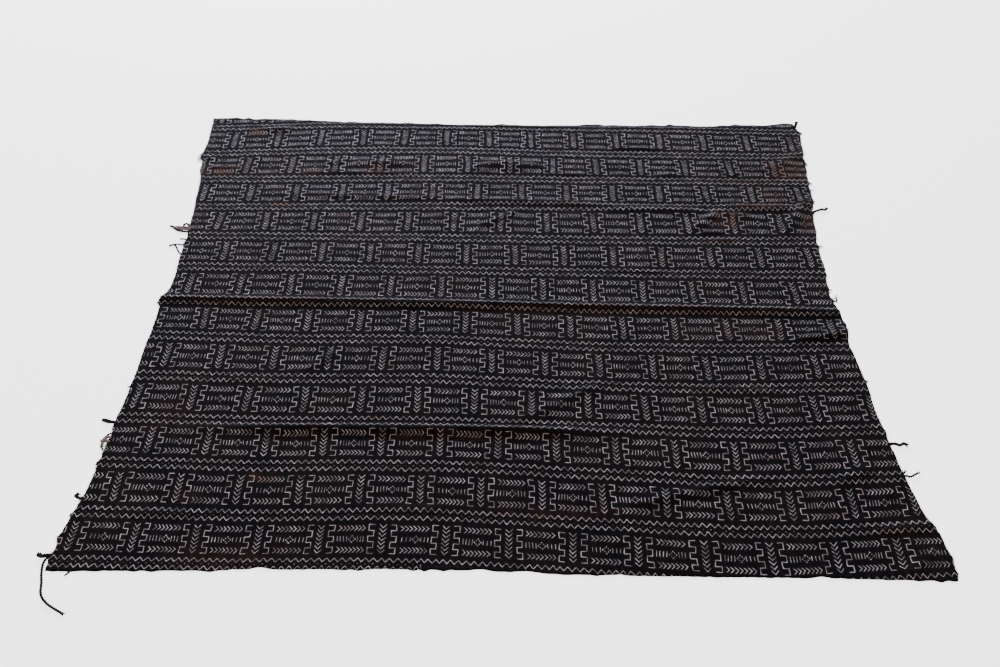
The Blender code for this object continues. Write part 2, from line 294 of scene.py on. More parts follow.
# The undyed drawing, in mm of a strip drawn 110 mm wide with a block every 120 mm
drawing = {
    "block": 120.0,
    "block start": 30.5,  # before its arrow column
    "strip width": 110.0,
    "far strip width": 98.0,  # most of it is turned under
    "column reach": 5.9,
    "column foot": 31.0,  # below the middle of the strip
    "column rise": 1.15,
    "column step": 9.2,
    "column slant": 0.72,  # of a distance along the column, the part square to a stroke
    "meander middle": 21.0,
    "meander half width": 5.2,
    "meander step": 12.6,
    "first chevron": 40.0,
    "chevron step": 7.75,
    "chevron row": 24.0,  # from the middle of the strip
    "chevron reach": 5.6,
    "chevron lean": 0.95,
    "chevron slant": 0.80,
    "diamond": (62.0, 6.5, 6.8),  # middle, half width, half height
    "dashes": (10.8, 7.2, 5.9),  # the first, the step of three and the step of four
    "dash reach": (4.4, 5.4),  # half the height of three and of four dashes
    "zigzag period": 14.4,
    "zigzag height": 8.0,
    "zigzag from seam": 8.6,
    "zigzag blend": (0.62, 0.19),  # of straight strokes and of rounded ones
    "zigzag slant": 0.78,
    "stroke": 0.51,  # half its width
    "stroke softness": 0.22,
    "wander along": (3.0, 9.0),  # within a stroke and from mark to mark
    "wander across": (2.6, 5.0),
    "near drawing ends": 2.5,  # short of the near strip's drawn line, and the hem beyond is plain
    "near corner": (-150.0, -40.0),  # left of this X the drawing runs on past that line to this depth
}


def solver(tree):  # short functions, each of which adds a maths node to a material
    def maths(operation, *values):
        made = tree.nodes.new("ShaderNodeMath")
        made.operation = operation
        for place, value in enumerate(values):
            if isinstance(value, (int, float)):
                made.inputs[place].default_value = value
            else:
                tree.links.new(value, made.inputs[place])
        return made.outputs[0]

    kinds = ("ABSOLUTE", "SUBTRACT", "ADD", "MULTIPLY", "MINIMUM", "MAXIMUM")
    return maths, *(partial(maths, kind) for kind in kinds)


def strokeDistance(solved, along, across, block, strip):  # to the middle of the nearest stroke
    maths, absolute, minus, plus, times, least, greatest = solved
    d = drawing
    half = d["strip width"] / 2.0

    def length(a, b):
        return maths("SQRT", plus(times(a, a), times(b, b)))

    def beyond(value, reach):  # how far the value lies beyond the reach on either side
        return greatest(minus(absolute(value), reach), 0.0)

    def clamped(value, low, high):
        return greatest(least(value, high), low)

    def toNearestOf(value, count):  # distance to the nearest of 0, 1, ... count - 1
        return absolute(minus(value, clamped(maths("ROUND", value), 0.0, count - 1.0)))

    # the zigzags on both sides of each seam, with a small dot in each diamond between them
    fromSeam = least(absolute(across), absolute(minus(across, d["strip width"])))
    halfPeriod = d["zigzag period"] / 2.0
    straight, rounded = d["zigzag blend"]
    swing = minus(times(maths("PINGPONG", along, halfPeriod), 1.0 / halfPeriod), 0.5)
    swing = plus(times(swing, straight), times(maths("SINE", times(swing, math.pi)), rounded))
    offZigzag = minus(minus(fromSeam, d["zigzag from seam"]), times(swing, d["zigzag height"]))
    zigzag = times(absolute(offZigzag), d["zigzag slant"])
    fromCell = minus(halfPeriod, maths("PINGPONG", along, halfPeriod))
    seamDot = plus(length(fromCell, fromSeam), -0.1)

    # the block: an arrow column between two meanders, then rows of chevrons and dashes
    up = minus(across, half)
    start = d["block start"]
    x = minus(maths("FLOORED_MODULO", plus(block, start), d["block"]), start)
    aside = absolute(x)

    fromFoot = plus(minus(up, times(aside, d["column rise"])), d["column foot"])
    rung = times(fromFoot, 1.0 / d["column step"])
    offRung = times(toNearestOf(rung, 7), d["column step"] * d["column slant"])
    column = length(offRung, beyond(x, d["column reach"]))

    u = minus(aside, d["meander middle"])
    meanderHalf = 2.5 * d["meander step"]
    inside = clamped(up, -meanderHalf, meanderHalf)
    insideLevel = times(plus(inside, meanderHalf), 1.0 / d["meander step"])
    odd = maths("FLOORED_MODULO", maths("FLOOR", least(insideLevel, 4.99)), 2.0)
    upright = times(minus(1.0, times(odd, 2.0)), d["meander half width"])
    uprights = length(minus(u, upright), minus(up, inside))
    level = times(plus(up, meanderHalf), 1.0 / d["meander step"])
    offLevel = times(toNearestOf(level, 6), d["meander step"])
    levels = length(offLevel, beyond(u, d["meander half width"]))
    meander = least(uprights, levels)

    fromMiddle = plus(up, 0.5)
    row = minus(absolute(fromMiddle), d["chevron row"])
    bent = plus(x, times(absolute(row), d["chevron lean"]))
    tip = times(minus(bent, d["first chevron"]), 1.0 / d["chevron step"])
    offTip = times(toNearestOf(tip, 7), d["chevron step"] * d["chevron slant"])
    chevrons = length(offTip, beyond(row, d["chevron reach"]))

    # three dashes on each side of the diamond in some blocks and four in others
    middle, halfWidth, halfHeight = d["diamond"]
    firstDash, wideStep, closeStep = d["dashes"]
    fromDiamond = absolute(minus(x, middle))
    rightSide = maths("GREATER_THAN", x, middle)
    blockNumber = maths("FLOOR", times(plus(block, start), 1.0 / d["block"]))
    chance = maths("SINE", plus(times(blockNumber, 2.4), times(strip, 5.1)))
    close = maths("GREATER_THAN", plus(times(rightSide, -1.3), chance), -0.65)
    step = minus(wideStep, times(close, wideStep - closeStep))
    dash = maths("DIVIDE", minus(fromDiamond, firstDash), step)
    nearestDash = clamped(maths("ROUND", dash), 0.0, plus(2.0, close))
    offDash = times(absolute(minus(dash, nearestDash)), step)
    shortDash, tallDash = d["dash reach"]
    reach = plus(times(close, tallDash - shortDash), shortDash)
    dashes = plus(length(offDash, beyond(fromMiddle, reach)), 0.1)
    tall = times(absolute(fromMiddle), halfWidth / halfHeight)
    outwards = minus(greatest(fromDiamond, tall), halfWidth)
    corners = length(outwards, times(least(fromDiamond, tall), 0.8))
    sides = length(minus(fromDiamond, halfWidth / 2.0), minus(tall, halfWidth / 2.0))
    dots = minus(least(corners, plus(sides, 0.2)), 0.5)

    nearest = least(zigzag, seamDot)
    for mark in (column, meander, chevrons, dashes, dots):
        nearest = least(nearest, mark)
    return nearest


dyed = {
    "black": (0.0024, 0.0020, 0.0029, 1.0),
    "brown black": (0.0075, 0.0044, 0.0036, 1.0),
    "worn black": (0.0125, 0.0104, 0.0136, 1.0),
    "stained": (0.0180, 0.0142, 0.0160, 1.0),  # beside the undyed lines
    "undyed": (0.86, 0.83, 0.83, 1.0),
    "dulled": (0.30, 0.28, 0.28, 1.0),
    "rust and shade brown": (0.52, 0.34, 0.24, 1.0),
    "rust and shade black": (0.0300, 0.0125, 0.0075, 1.0),
    "speckle": (0.36, 0.64, 0.30, 2.10),  # noise from and to, then what it makes of the ground's light
    "painted knuckle light": (0.42, 1.4),
    "thread pitch": 1.25,
    "weave depth": 0.35,
    "roughness": (0.97, 0.84),  # between the knuckles and on them
    "sheen": 0.025,
    "shine": 0.1,
}


def noiseAt(tree, place, scale, detail=2.0, roughness=0.5):
    made = tree.nodes.new("ShaderNodeTexNoise")
    made.inputs["Scale"].default_value = scale
    made.inputs["Detail"].default_value = detail
    made.inputs["Roughness"].default_value = roughness
    tree.links.new(place, made.inputs["Vector"])
    return made


def ranged(tree, value, low, high, toLow=0.0, toHigh=1.0):
    made = tree.nodes.new("ShaderNodeMapRange")
    made.interpolation_type = "SMOOTHSTEP"
    tree.links.new(value, made.inputs["Value"])
    for name, setting in (("From Min", low), ("From Max", high), ("To Min", toLow), ("To Max", toHigh)):
        made.inputs[name].default_value = setting
    return made.outputs["Result"]


def mixed(tree, share, first, second):
    made = tree.nodes.new("ShaderNodeMix")
    made.data_type = "RGBA"
    for name, value in (("Factor", share), ("A", first), ("B", second)):
        kind = "VALUE" if name == "Factor" else "RGBA"
        socket = next(s for s in made.inputs if s.name == name and s.type == kind)
        if isinstance(value, tuple):
            socket.default_value = value
        else:
            tree.links.new(value, socket)
    return next(s for s in made.outputs if s.type == "RGBA")


def partsOf(tree, vector):
    made = tree.nodes.new("ShaderNodeSeparateXYZ")
    tree.links.new(vector, made.inputs[0])
    return made.outputs


def attributeOf(tree, name):
    made = tree.nodes.new("ShaderNodeAttribute")
    made.attribute_name = name
    return made.outputs["Fac"]


def scaled(tree, colour, share):
    made = tree.nodes.new("ShaderNodeVectorMath")
    made.operation = "SCALE"
    tree.links.new(colour, made.inputs[0])
    tree.links.new(share, made.inputs["Scale"])
    return made.outputs[0]


def roughen(tree, height, strength, depth):
    bump = tree.nodes.new("ShaderNodeBump")
    bump.inputs["Strength"].default_value = strength
    bump.inputs["Distance"].default_value = depth * mm
    tree.links.new(height, bump.inputs["Height"])
    tree.links.new(bump.outputs["Normal"], tree.nodes["Principled BSDF"].inputs["Normal"])


def clothMaterial(name, drawn):
    made = bpy.data.materials.new(name)
    made.use_nodes = True
    tree = made.node_tree
    shader = tree.nodes["Principled BSDF"]
    solved = solver(tree)
    maths, absolute, minus, plus, times, least, greatest = solved
    coordinates = tree.nodes.new("ShaderNodeTexCoord").outputs["Object"]
    uv = tree.nodes.new("ShaderNodeUVMap")
    uv.uv_map = "alongAcross"
    parts = partsOf(tree, uv.outputs["UV"])
    along = times(parts[0], 1000.0)
    across = times(parts[1], 1000.0)

    # plain weave: raised knuckles of thick, uneven yarn
    slub = noiseAt(tree, coordinates, 70.0, 3.0, 0.6).outputs["Fac"]

    def threads(place, unevenness):
        shifted = plus(place, times(slub, unevenness))
        return maths("SINE", times(shifted, math.pi / dyed["thread pitch"]))

    warp, weft = threads(across, 1.1), threads(along, 0.9)
    rounds = plus(absolute(warp), absolute(weft))
    knuckles = maths("MULTIPLY_ADD", times(warp, weft), 0.35, times(rounds, 0.4))
    fibre = noiseAt(tree, coordinates, 900.0, 2.0, 0.6).outputs["Fac"]

    patches = noiseAt(tree, coordinates, 7.0, 3.0, 0.55).outputs["Fac"]
    blotches = noiseAt(tree, coordinates, 38.0, 3.0, 0.6).outputs["Fac"]
    ground = mixed(tree, ranged(tree, patches, 0.42, 0.66), dyed["black"], dyed["brown black"])
    paler = times(ranged(tree, blotches, 0.45, 0.75), 0.35)
    ground = mixed(tree, paler, ground, dyed["worn black"])
    # painted warm shade on the fold slopes, with rust: the ground turns reddish black under this mask
    rustAndFoldShade = times(attributeOf(tree, "rustAndFoldShade"), ranged(tree, blotches, 0.30, 0.60))
    ground = mixed(tree, rustAndFoldShade, ground, dyed["rust and shade black"])
    grain = noiseAt(tree, coordinates, 420.0, 2.0, 0.6).outputs["Fac"]
    colour = scaled(tree, ground, ranged(tree, grain, *dyed["speckle"]))

    if drawn:
        sway = partsOf(tree, noiseAt(tree, coordinates, 60.0, 1.0).outputs["Color"])
        drift = partsOf(tree, noiseAt(tree, coordinates, 14.0, 1.0).outputs["Color"])

        def wandering(place, reaches):
            fine, wide = reaches
            return plus(times(minus(sway[place], 0.5), fine), times(minus(drift[place], 0.5), wide))

        shiftAlong = wandering(0, drawing["wander along"])
        shiftAcross = wandering(1, drawing["wander across"])
        alongBlocks = plus(attributeOf(tree, "blockAlong"), shiftAlong)
        strip = attributeOf(tree, "stripNumber")
        distance = strokeDistance(
            solved, plus(along, shiftAlong), plus(across, shiftAcross), alongBlocks, strip
        )
        edge = plus(plus(distance, times(minus(grain, 0.5), 0.7)), times(minus(sway[2], 0.5), 0.8))
        inner = drawing["stroke"] - drawing["stroke softness"]
        outer = drawing["stroke"] + drawing["stroke softness"]
        stroke = ranged(tree, edge, inner, outer, 1.0, 0.0)
        halo = ranged(tree, distance, 0.6, 4.2, 0.7, 0.0)
        colour = mixed(tree, halo, colour, dyed["stained"])
        load = noiseAt(tree, coordinates, 60.0, 4.0, 0.65).outputs["Fac"]
        tint = noiseAt(tree, coordinates, 21.0, 2.0, 0.5).outputs["Fac"]
        paint = mixed(tree, ranged(tree, load, 0.38, 0.62), dyed["dulled"], dyed["undyed"])
        tinted = times(ranged(tree, tint, 0.56, 0.72), 0.55)
        # strokes tinted reddish brown at random, and under the mask of rust and painted fold shade
        paint = mixed(tree, greatest(tinted, rustAndFoldShade), paint, dyed["rust and shade brown"])
        colour = mixed(tree, stroke, colour, paint)

    # painted light and shade of the weave: the colour is lighter on the knuckles and darker between them
    shaded = scaled(tree, colour, ranged(tree, knuckles, 0.1, 1.1, *dyed["painted knuckle light"]))
    tree.links.new(shaded, shader.inputs["Base Color"])
    roughen(tree, maths("MULTIPLY_ADD", fibre, 0.25, knuckles), 0.7, dyed["weave depth"])
    tree.links.new(ranged(tree, knuckles, 0.2, 1.1, *dyed["roughness"]), shader.inputs["Roughness"])
    shader.inputs["Sheen Weight"].default_value = dyed["sheen"]
    shader.inputs["Sheen Roughness"].default_value = 0.5
    shader.inputs["Specular IOR Level"].default_value = dyed["shine"]
    return made


yarn = {
    "dark": (0.007, 0.006, 0.006, 1.0),
    "worn": (0.024, 0.020, 0.018, 1.0),
    "sewing": (0.020, 0.017, 0.016, 1.0),
    "dull pale": (0.16, 0.13, 0.12, 1.0),
    "pale": (0.42, 0.34, 0.31, 1.0),
    "fibre depth": 0.15,
    "roughness": (0.82, 0.96),
    "shine": 0.15,
}


def yarnMaterial(name, dark, light):
    made = bpy.data.materials.new(name)
    made.use_nodes = True
    tree = made.node_tree
    shader = tree.nodes["Principled BSDF"]
    coordinates = tree.nodes.new("ShaderNodeTexCoord").outputs["Object"]
    tone = noiseAt(tree, coordinates, 160.0, 3.0, 0.6).outputs["Fac"]
    fibre = noiseAt(tree, coordinates, 1800.0, 2.0, 0.6).outputs["Fac"]
    tree.links.new(mixed(tree, ranged(tree, tone, 0.35, 0.7), dark, light), shader.inputs["Base Color"])
    roughen(tree, fibre, 0.5, yarn["fibre depth"])
    tree.links.new(ranged(tree, tone, 0.2, 0.8, *yarn["roughness"]), shader.inputs["Roughness"])
    shader.inputs["Specular IOR Level"].default_value = yarn["shine"]
    return made


drawnCloth = clothMaterial("mudDyedDrawnCloth", True)
plainBack = clothMaterial("mudDyedBack", False)
looseYarn = yarnMaterial("looseDyedYarn", yarn["dark"], yarn["worn"])
paleYarn = yarnMaterial("undyedYarn", yarn["dull pale"], yarn["pale"])
sewingThread = yarnMaterial("sewingThread", yarn["dark"], yarn["sewing"])
print("materials made")


def onlySelected(piece):
    bpy.ops.object.select_all(action="DESELECT")
    piece.select_set(True)
    bpy.context.view_layer.objects.active = piece


def placesOf(mesh):
    places = np.empty(len(mesh.vertices) * 3)
    mesh.vertices.foreach_get("co", places)
    return places.reshape(-1, 3)


def cornersOf(mesh):  # the vertex at each corner of each face
    corners = np.empty(len(mesh.loops), np.int32)
    mesh.loops.foreach_get("vertex_index", corners)
    return corners


def farEdgeOf(number, x):
    return lineDepth(sewnLines[number][4], x)


def nearEdgeOf(number, x):
    return lineDepth(sewnLines[number + 1][4], x)


def sewnIn(z, x, distance, seam):  # pulls the cloth down in a seam, with a ridge and puckers beside it
    groove = cloth["seam groove"] * (1.0 - eased(distance / cloth["groove width"]))
    fromRidge = (distance - cloth["ridge place"]) / cloth["ridge width"]
    ridge = cloth["selvedge ridge"] * np.exp(-(fromRidge**2))
    drawnIn = np.clip(0.6 + ripple(x, 0.0, 160.0, f"pull {seam}"), 0.1, 1.4)
    pull = ripple(x, 0.0, cloth["pucker length"], f"pucker {seam}") * drawnIn
    fade = np.exp(-distance / cloth["pucker reach"]) * (1.0 - np.exp(-distance / 2.0) * 0.6)
    return z - groove + ridge + cloth["pucker"] * np.clip(pull, -0.3, 1.0) * fade


def turnedUnder(z, x, distance):  # lifts the cloth over a hem and rounds its edge
    rise = cloth["hem rise"] * (1.0 - eased((distance - cloth["hem depth"]) / 5.0))
    bend = 1.0 - np.clip(distance / cloth["hem bend"], 0.0, 1.0)
    rounding = cloth["thickness"] * (1.0 - np.sqrt(1.0 - bend**2))
    return z + rise * (0.8 + 0.2 * ripple(x, 0.0, 40.0, "hem thickness")) - rounding


def drawOn(mesh, number, x, y, near, far):  # the maps that the drawing and the reddish-brown places (rust and painted fold shade) follow
    width = drawing["strip width"]
    if number == 0:
        drawnAcross = (y - near) * width / drawing["far strip width"]
    elif number == len(sewnLines) - 2:
        drawnNear = lineDepth(nearDrawnLine, x)
        # the turned-under edge hides what lies beyond the drawn line, except at the left
        cornerX, cornerDepth = drawing["near corner"]
        shown = np.where(x < cornerX, cornerDepth, drawing["near drawing ends"])
        drawnAcross = np.maximum((y - drawnNear) / (far - drawnNear) * width, shown)
    else:
        drawnAcross = (y - near) / (far - near) * width
    firstColumn, step, slips = arrowColumns[number]
    block = (x - lineDepth(slips, x) - firstColumn) * drawing["block"] / step
    # reddish-brown mask: rust, and painted warm shade on the fold slopes that face the near side
    rustAndFoldShade = np.zeros(len(x))
    for middleX, middleY, halfLength, halfDepth, strength in rustAndFoldShadePlaces:
        beyond = ((x - middleX) / halfLength) ** 4 + ((y - middleY) / halfDepth) ** 4
        rustAndFoldShade = np.maximum(rustAndFoldShade, strength * np.exp(-beyond))

    for layer in list(mesh.uv_layers):
        mesh.uv_layers.remove(layer)
    mesh.uv_layers.new(name="alongAcross")
    drawn = np.stack([x, drawnAcross], 1) * mm
    mesh.uv_layers["alongAcross"].data.foreach_set("uv", drawn[cornersOf(mesh)].ravel())
    stripNumber = np.full(len(x), float(number))
    for name, values in (("blockAlong", block), ("stripNumber", stripNumber), ("rustAndFoldShade", rustAndFoldShade)):
        mesh.attributes.new(name, "FLOAT", "POINT").data.foreach_set("value", values.astype(np.float32))


def thicken(piece):
    mesh = piece.data
    mesh.materials.append(drawnCloth)
    mesh.materials.append(plainBack)
    onlySelected(piece)
    solid = piece.modifiers.new("cloth thickness", "SOLIDIFY")
    solid.thickness = cloth["thickness"] * mm
    solid.offset = -1.0
    solid.use_even_offset = False
    solid.material_offset = 1
    solid.material_offset_rim = 1
    bpy.ops.object.modifier_apply(modifier=solid.name)
    places = placesOf(mesh)
    places[:, 2] = np.maximum(places[:, 2], 0.0)
    mesh.vertices.foreach_set("co", places.ravel())


def wovenStrip(number):
    isFar, isNear = number == 0, number == len(sewnLines) - 2
    length = sewnLines[number + 1][1] - sewnLines[number + 1][0]
    width = max(float(farEdgeOf(number, 0.0) - nearEdgeOf(number, 0.0)), cloth["least width"])
    columns, rows = round(length / cloth["grid along"]), round(width / cloth["grid across"])
    bpy.ops.mesh.primitive_grid_add(x_subdivisions=columns, y_subdivisions=rows, size=2.0)
    piece = bpy.context.object
    piece.name = piece.data.name = f"wovenStrip{number:02d}"
    mesh = piece.data
    flat = placesOf(mesh)
    run, share = (flat[:, 0] + 1.0) / 2.0, (flat[:, 1] + 1.0) / 2.0

    left, right = endX(number, "left", share), endX(number, "right", share)
    x = left + (right - left) * run
    near = nearEdgeOf(number, x) - (0.0 if isNear else cloth["overlap"])
    far = farEdgeOf(number, x) + (0.0 if isFar else cloth["overlap"])
    if isFar:
        far = far + lumpsAt(farLumps, x) + 0.5 * ripple(x, 0.0, 26.0, "far hem")
    if isNear:
        near = near - lumpsAt(nearLumps, x) - 0.5 * ripple(x, 0.0, 24.0, "near hem")
    # rows of the grid crowd towards the two edges, where the seams and hems are shaped
    crowded = share - cloth["row crowding"] * np.sin(math.tau * share) / math.tau
    y = near + (far - near) * crowded
    z = clothTop(x, y)
    z = turnedUnder(z, x, y - near) if isNear else sewnIn(z, x, y - near, number + 1)
    z = turnedUnder(z, x, far - y) if isFar else sewnIn(z, x, far - y, number)
    mesh.vertices.foreach_set("co", (np.stack([x, y, z], 1) * mm).ravel())

    drawOn(mesh, number, x, y, near, far)
    thicken(piece)
    layOutBakeMap(piece, len(flat))
    bpy.ops.object.shade_smooth_by_angle(angle=math.radians(50.0))
    return piece


bakeMap = {
    "side": 470.0,
    "margin": 3.0,
    "bands": 4,
    "band height": 112.0,
    "back gap": 8.0,
    "back scale": 0.22,
    "rim scale": 0.26,
    "rim rows": 6.0,
    "rim height": 3.0,
    "ends gap": 38.0,
    "ends height": 4.0,
    "ends foot": 70.0,
    "ends apart": 150.0,
    "end reach": 12.0,  # rim faces this near an end belong to it
}


def layOutBakeMap(piece, topVerts):
    # The upper face lies in the map as four bands one above the other, the back at a smaller scale
    # beside them and the thin rim above, so that the drawing gets most of the map
    b = bakeMap
    margin = b["margin"]
    mesh = piece.data
    count = len(mesh.polygons)
    places = placesOf(mesh) / mm
    totals = np.empty(count, np.int32)
    mesh.polygons.foreach_get("loop_total", totals)
    corners = cornersOf(mesh)
    face = np.repeat(np.arange(count), totals)
    onTop = corners < topVerts
    topCorners = np.bincount(face, weights=onTop, minlength=count)
    isTop, isBack = (topCorners == totals)[face], (topCorners == 0)[face]
    isRim = ~(isTop | isBack)
    sums = [np.bincount(face, weights=places[corners, axis], minlength=count) for axis in range(2)]
    middleX, middleY = sums[0] / totals, sums[1] / totals
    low, high = places[:, 0].min(), places[:, 0].max()
    centre = (low + high) / 2.0
    run = (high - low) / b["bands"]
    band = np.clip(((middleX - low) / run).astype(int), 0, b["bands"] - 1)[face]
    x, y = places[corners, 0], places[corners, 1]

    # a curved strip is put straight in the map by taking off its middle line
    fit = np.polyfit(places[:, 0] - centre, places[:, 1], 4)
    straight = y - np.polyval(fit, x - centre)
    spread = max(np.abs(straight).max(), 1.0)
    squeezed = straight * min(1.0, (b["band height"] / 2.0 - 1.0) / spread)
    u = margin + x - low - band * run
    v = margin + (band + 0.5) * b["band height"] + squeezed
    backU = margin + run + b["back gap"] + (squeezed + b["band height"] / 2.0) * b["back scale"]
    u = np.where(isBack, backU, u)
    v = np.where(isBack, margin + (x - low) * b["back scale"], v)

    isEnd = (np.minimum(np.abs(middleX - low), np.abs(middleX - high)) < b["end reach"])[face] & isRim
    nearSide = (middleY < np.polyval(fit, middleX - centre))[face]
    rimRow = np.where(nearSide, 0.0, b["rim rows"]) + np.where(onTop, b["rim height"], 0.0)
    u = np.where(isRim, margin + (x - low) * b["rim scale"], u)
    v = np.where(isRim, margin + b["bands"] * b["band height"] + margin + rimRow, v)
    rightEnd = np.where((middleX > 0.0)[face], b["ends apart"], 0.0)
    u = np.where(isEnd, margin + run + b["ends gap"] + np.where(onTop, b["ends height"], 0.0), u)
    v = np.where(isEnd, margin + rightEnd + straight + b["ends foot"], v)
    mesh.uv_layers.new(name="OFBake")
    mesh.uv_layers["OFBake"].data.foreach_set("uv", (np.stack([u, v], 1) / b["side"]).ravel())
    mesh.uv_layers.active = mesh.uv_layers["alongAcross"]


strips = [wovenStrip(number) for number in range(len(sewnLines) - 1)]
print("woven strips laid and folded")


def threadMesh(name, runs, sides, material):  # round runs of (x, y, z, radius), as one mesh
    lines = bpy.data.curves.new(name, "CURVE")
    lines.dimensions = "3D"
    lines.bevel_depth = mm
    lines.bevel_resolution = sides
    lines.use_fill_caps = True
    for run in runs:
        spline = lines.splines.new("POLY")
        spline.points.add(len(run) - 1)
        for point, (x, y, z, radius) in zip(spline.points, run):
            point.co = (x * mm, y * mm, z * mm, 1.0)
            point.radius = radius
    piece = bpy.data.objects.new(name, lines)
    bpy.context.scene.collection.objects.link(piece)
    onlySelected(piece)
    bpy.ops.object.convert(target="MESH")
    piece = bpy.context.object
    piece.data.materials.clear()
    piece.data.materials.append(material)
    bpy.ops.object.shade_smooth()
    return piece


def topAt(x, y):
    return float(clothTop(np.array([float(x)]), np.array([float(y)]))[0])


fray = {
    "spacing": 1.35,
    "short": (0.6, 3.2),
    "long share": 0.07,
    "long": (4.0, 9.0),
    "thickness": (0.22, 0.42),  # radius
    "bend": 0.35,
    "curl": 0.5,
    "root": 2.2,  # how far inside the edge each starts
    "taper": 0.55,
    "seed": 31,
}

# Longer loose yarns: Y of the root, the plies' radius, then the points (x, y) they pass
hangingYarns = {
    "left": (
        (-603, 2.4, ((-842, -604), (-850, -605), (-858, -600.5))),
        (-606, 1.5, (
            (-841, -612), (-842, -622), (-838, -638), (-832, -654),
            (-825, -675), (-810, -690), (-790, -701), (-771, -710),
        )),
        (-317, 1.3, ((-812, -316), (-820, -315.5), (-828, -313))),
        (-343, 1.3, ((-811, -347), (-817, -358), (-816, -372), (-809, -384))),
        (-358, 1.3, ((-812, -361), (-818, -361), (-824, -360))),
        (-489, 1.9, ((-824, -487), (-829, -484), (-827, -480), (-822, -483))),
        (-423, 0.7, ((-812.5, -422),)),
        (-228, 0.8, ((-806, -228), (-809, -226))),
        (268, 1.6, ((-810, 271), (-815, 266), (-814, 258), (-806, 251))),
        (259, 1.3, ((-816, 258), (-830, 261), (-837, 257))),
        (243, 1.8, ((-814, 243.5), (-825, 246), (-835, 253), (-841, 259), (-850, 262))),
        (216, 1.3, ((-804, 217), (-813, 216))),
        (197, 1.3, ((-807, 197), (-817, 198), (-834, 192))),
        (166, 1.4, ((-806, 175), (-812, 185), (-820, 195), (-834, 194.5))),
        (550, 0.8, ((-843, 543), (-847, 532), (-842, 521), (-835, 515))),
        (8, 0.9, ((-810, 6), (-812, 10))),
    ),
    "right": (
        (330, 2.0, ((806, 333), (816, 338), (829, 343), (838, 342), (845, 350))),
        (-352, 2.0, ((804, -353), (812, -356.5), (822, -352), (829, -358))),
        (-424, 1.4, ((806, -425), (812, -427), (822, -422), (833, -417))),
        (-418, 1.1, ((805, -415), (808, -411))),
        (421, 0.6, ((825, 421), (832, 423))),
        (689, 2.5, ((841, 694), (845, 702), (848, 710.5))),
        (211, 1.0, ((793, 211), (799, 210))),
        (66, 1.0, ((781, 66), (785, 65))),
        (36, 0.8, ((779, 34), (785, 28), (788, 34), (788, 43), (791, 51))),
        (30, 0.8, ((783, 30), (787, 36), (785, 42), (780, 38))),
        (-198, 0.9, ((792, -197), (795, -199))),
        (447, 0.8, ((825, 447), (829, 444))),
        (375, 0.7, ((822, 376), (825, 373))),
    ),
}

# Small tangles of broken ends: Y, how far they reach and how many ends
tangles = {
    "left": (
        (676, 7, 5), (530, 6, 12), (262, 9, 14), (200, 5, 7),
        (8, 6, 16), (-228, 5, 8), (-330, 4, 8), (-362, 9, 18),
        (-412, 4, 8), (-490, 7, 16), (-497, 4, 9), (-524, 5, 10),
        (-569, 5, 9), (-603, 6, 10), (345, 3, 6), (115, 3, 6),
    ),
    "right": (
        (662, 5, 8), (585, 4, 7), (527, 6, 14), (447, 7, 14),
        (421, 5, 8), (374, 5, 10), (330, 5, 10), (300, 3, 6),
        (208, 5, 8), (137, 5, 9), (64, 5, 8), (34, 9, 20),
        (-42, 4, 8), (-198, 6, 10), (-415, 4, 8), (-590, 5, 10),
        (-628, 4, 8), (490, 4, 7), (556, 4, 7), (610, 3, 5),
    ),
}

paleTangles = {
    "left": ((-362, 8, 12), (257, 14, 12), (528, 8, 8), (492, 5, 5)),
    "right": ((36, 9, 12), (527, 3, 3)),
}

# Undyed yarns that show in the loops at the left, in the same columns as the hanging yarns
paleYarns = {
    "left": (
        (257, 2.1, ((-814, 257), (-823, 255.5), (-836, 256))),
        (252, 1.9, ((-813, 251), (-824, 251.5), (-838, 254))),
        (-362, 2.0, ((-812, -359), (-815, -368), (-813, -377))),
        (-352, 1.9, ((-811.5, -353), (-815, -359), (-815.5, -366))),
    ),
    "right": (),
}

# The end of the knotted stub at the left: places along it, then its radius there
knot = {
    "side": "left",
    "run": (
        (-807, -317.5, 3.2), (-812, -317, 3.6), (-817, -316.5, 4.3), (-822, -315.5, 4.7),
        (-827, -314, 4.7), (-831, -312.5, 4.0), (-834, -311.5, 2.6),
    ),
    "ends": 16,
}

# A stub that comes out under the near edge at the left: places along it, height and radius
nearStub = (
    (-787, -628, 2.0, 1.6), (-790, -634, 2.1, 2.0), (-794, -638.5, 2.0, 1.9), (-797, -641, 1.2, 0.9),
)

twist = {
    "step": 1.3,  # between the points of a yarn
    "turn": 0.85,  # of its plies at each step
    "ply": 0.85,  # the plies' distance from the middle, in radii
    "splay": 0.28,  # of the last few points
    "taper": 0.07,
    "tip": 0.35,
}

tangle = {
    "spread": 3.0,
    "bend": 0.7,
    "curl": 0.55,
    "thickness": (0.4, 0.75),
    "root": 2.5,  # how far inside the edge it starts
    "steps": 6,
    "taper": 0.09,
}


def outlineAt(side, y):
    depths = [endDepth(line, side) for line in sewnLines]
    number = 0
    while number < len(sewnLines) - 2 and y < depths[number + 1]:
        number += 1
    across = (y - depths[number + 1]) / (depths[number] - depths[number + 1])
    return float(endX(number, side, min(max(across, 0.0), 1.0)))


def smoothRun(points, step):  # a soft curve through the points, about step apart
    points = [np.array(p, float) for p in points]
    points = [2 * points[0] - points[1], *points, 2 * points[-1] - points[-2]]
    made = []
    for before, start, end, after in zip(points, points[1:], points[2:], points[3:]):
        pieces = max(2, round(float(np.linalg.norm(end - start)) / step))
        for t in np.arange(pieces) / pieces:
            made.append(curveThrough(before, start, end, after, t))
    return [*made, points[-2]]


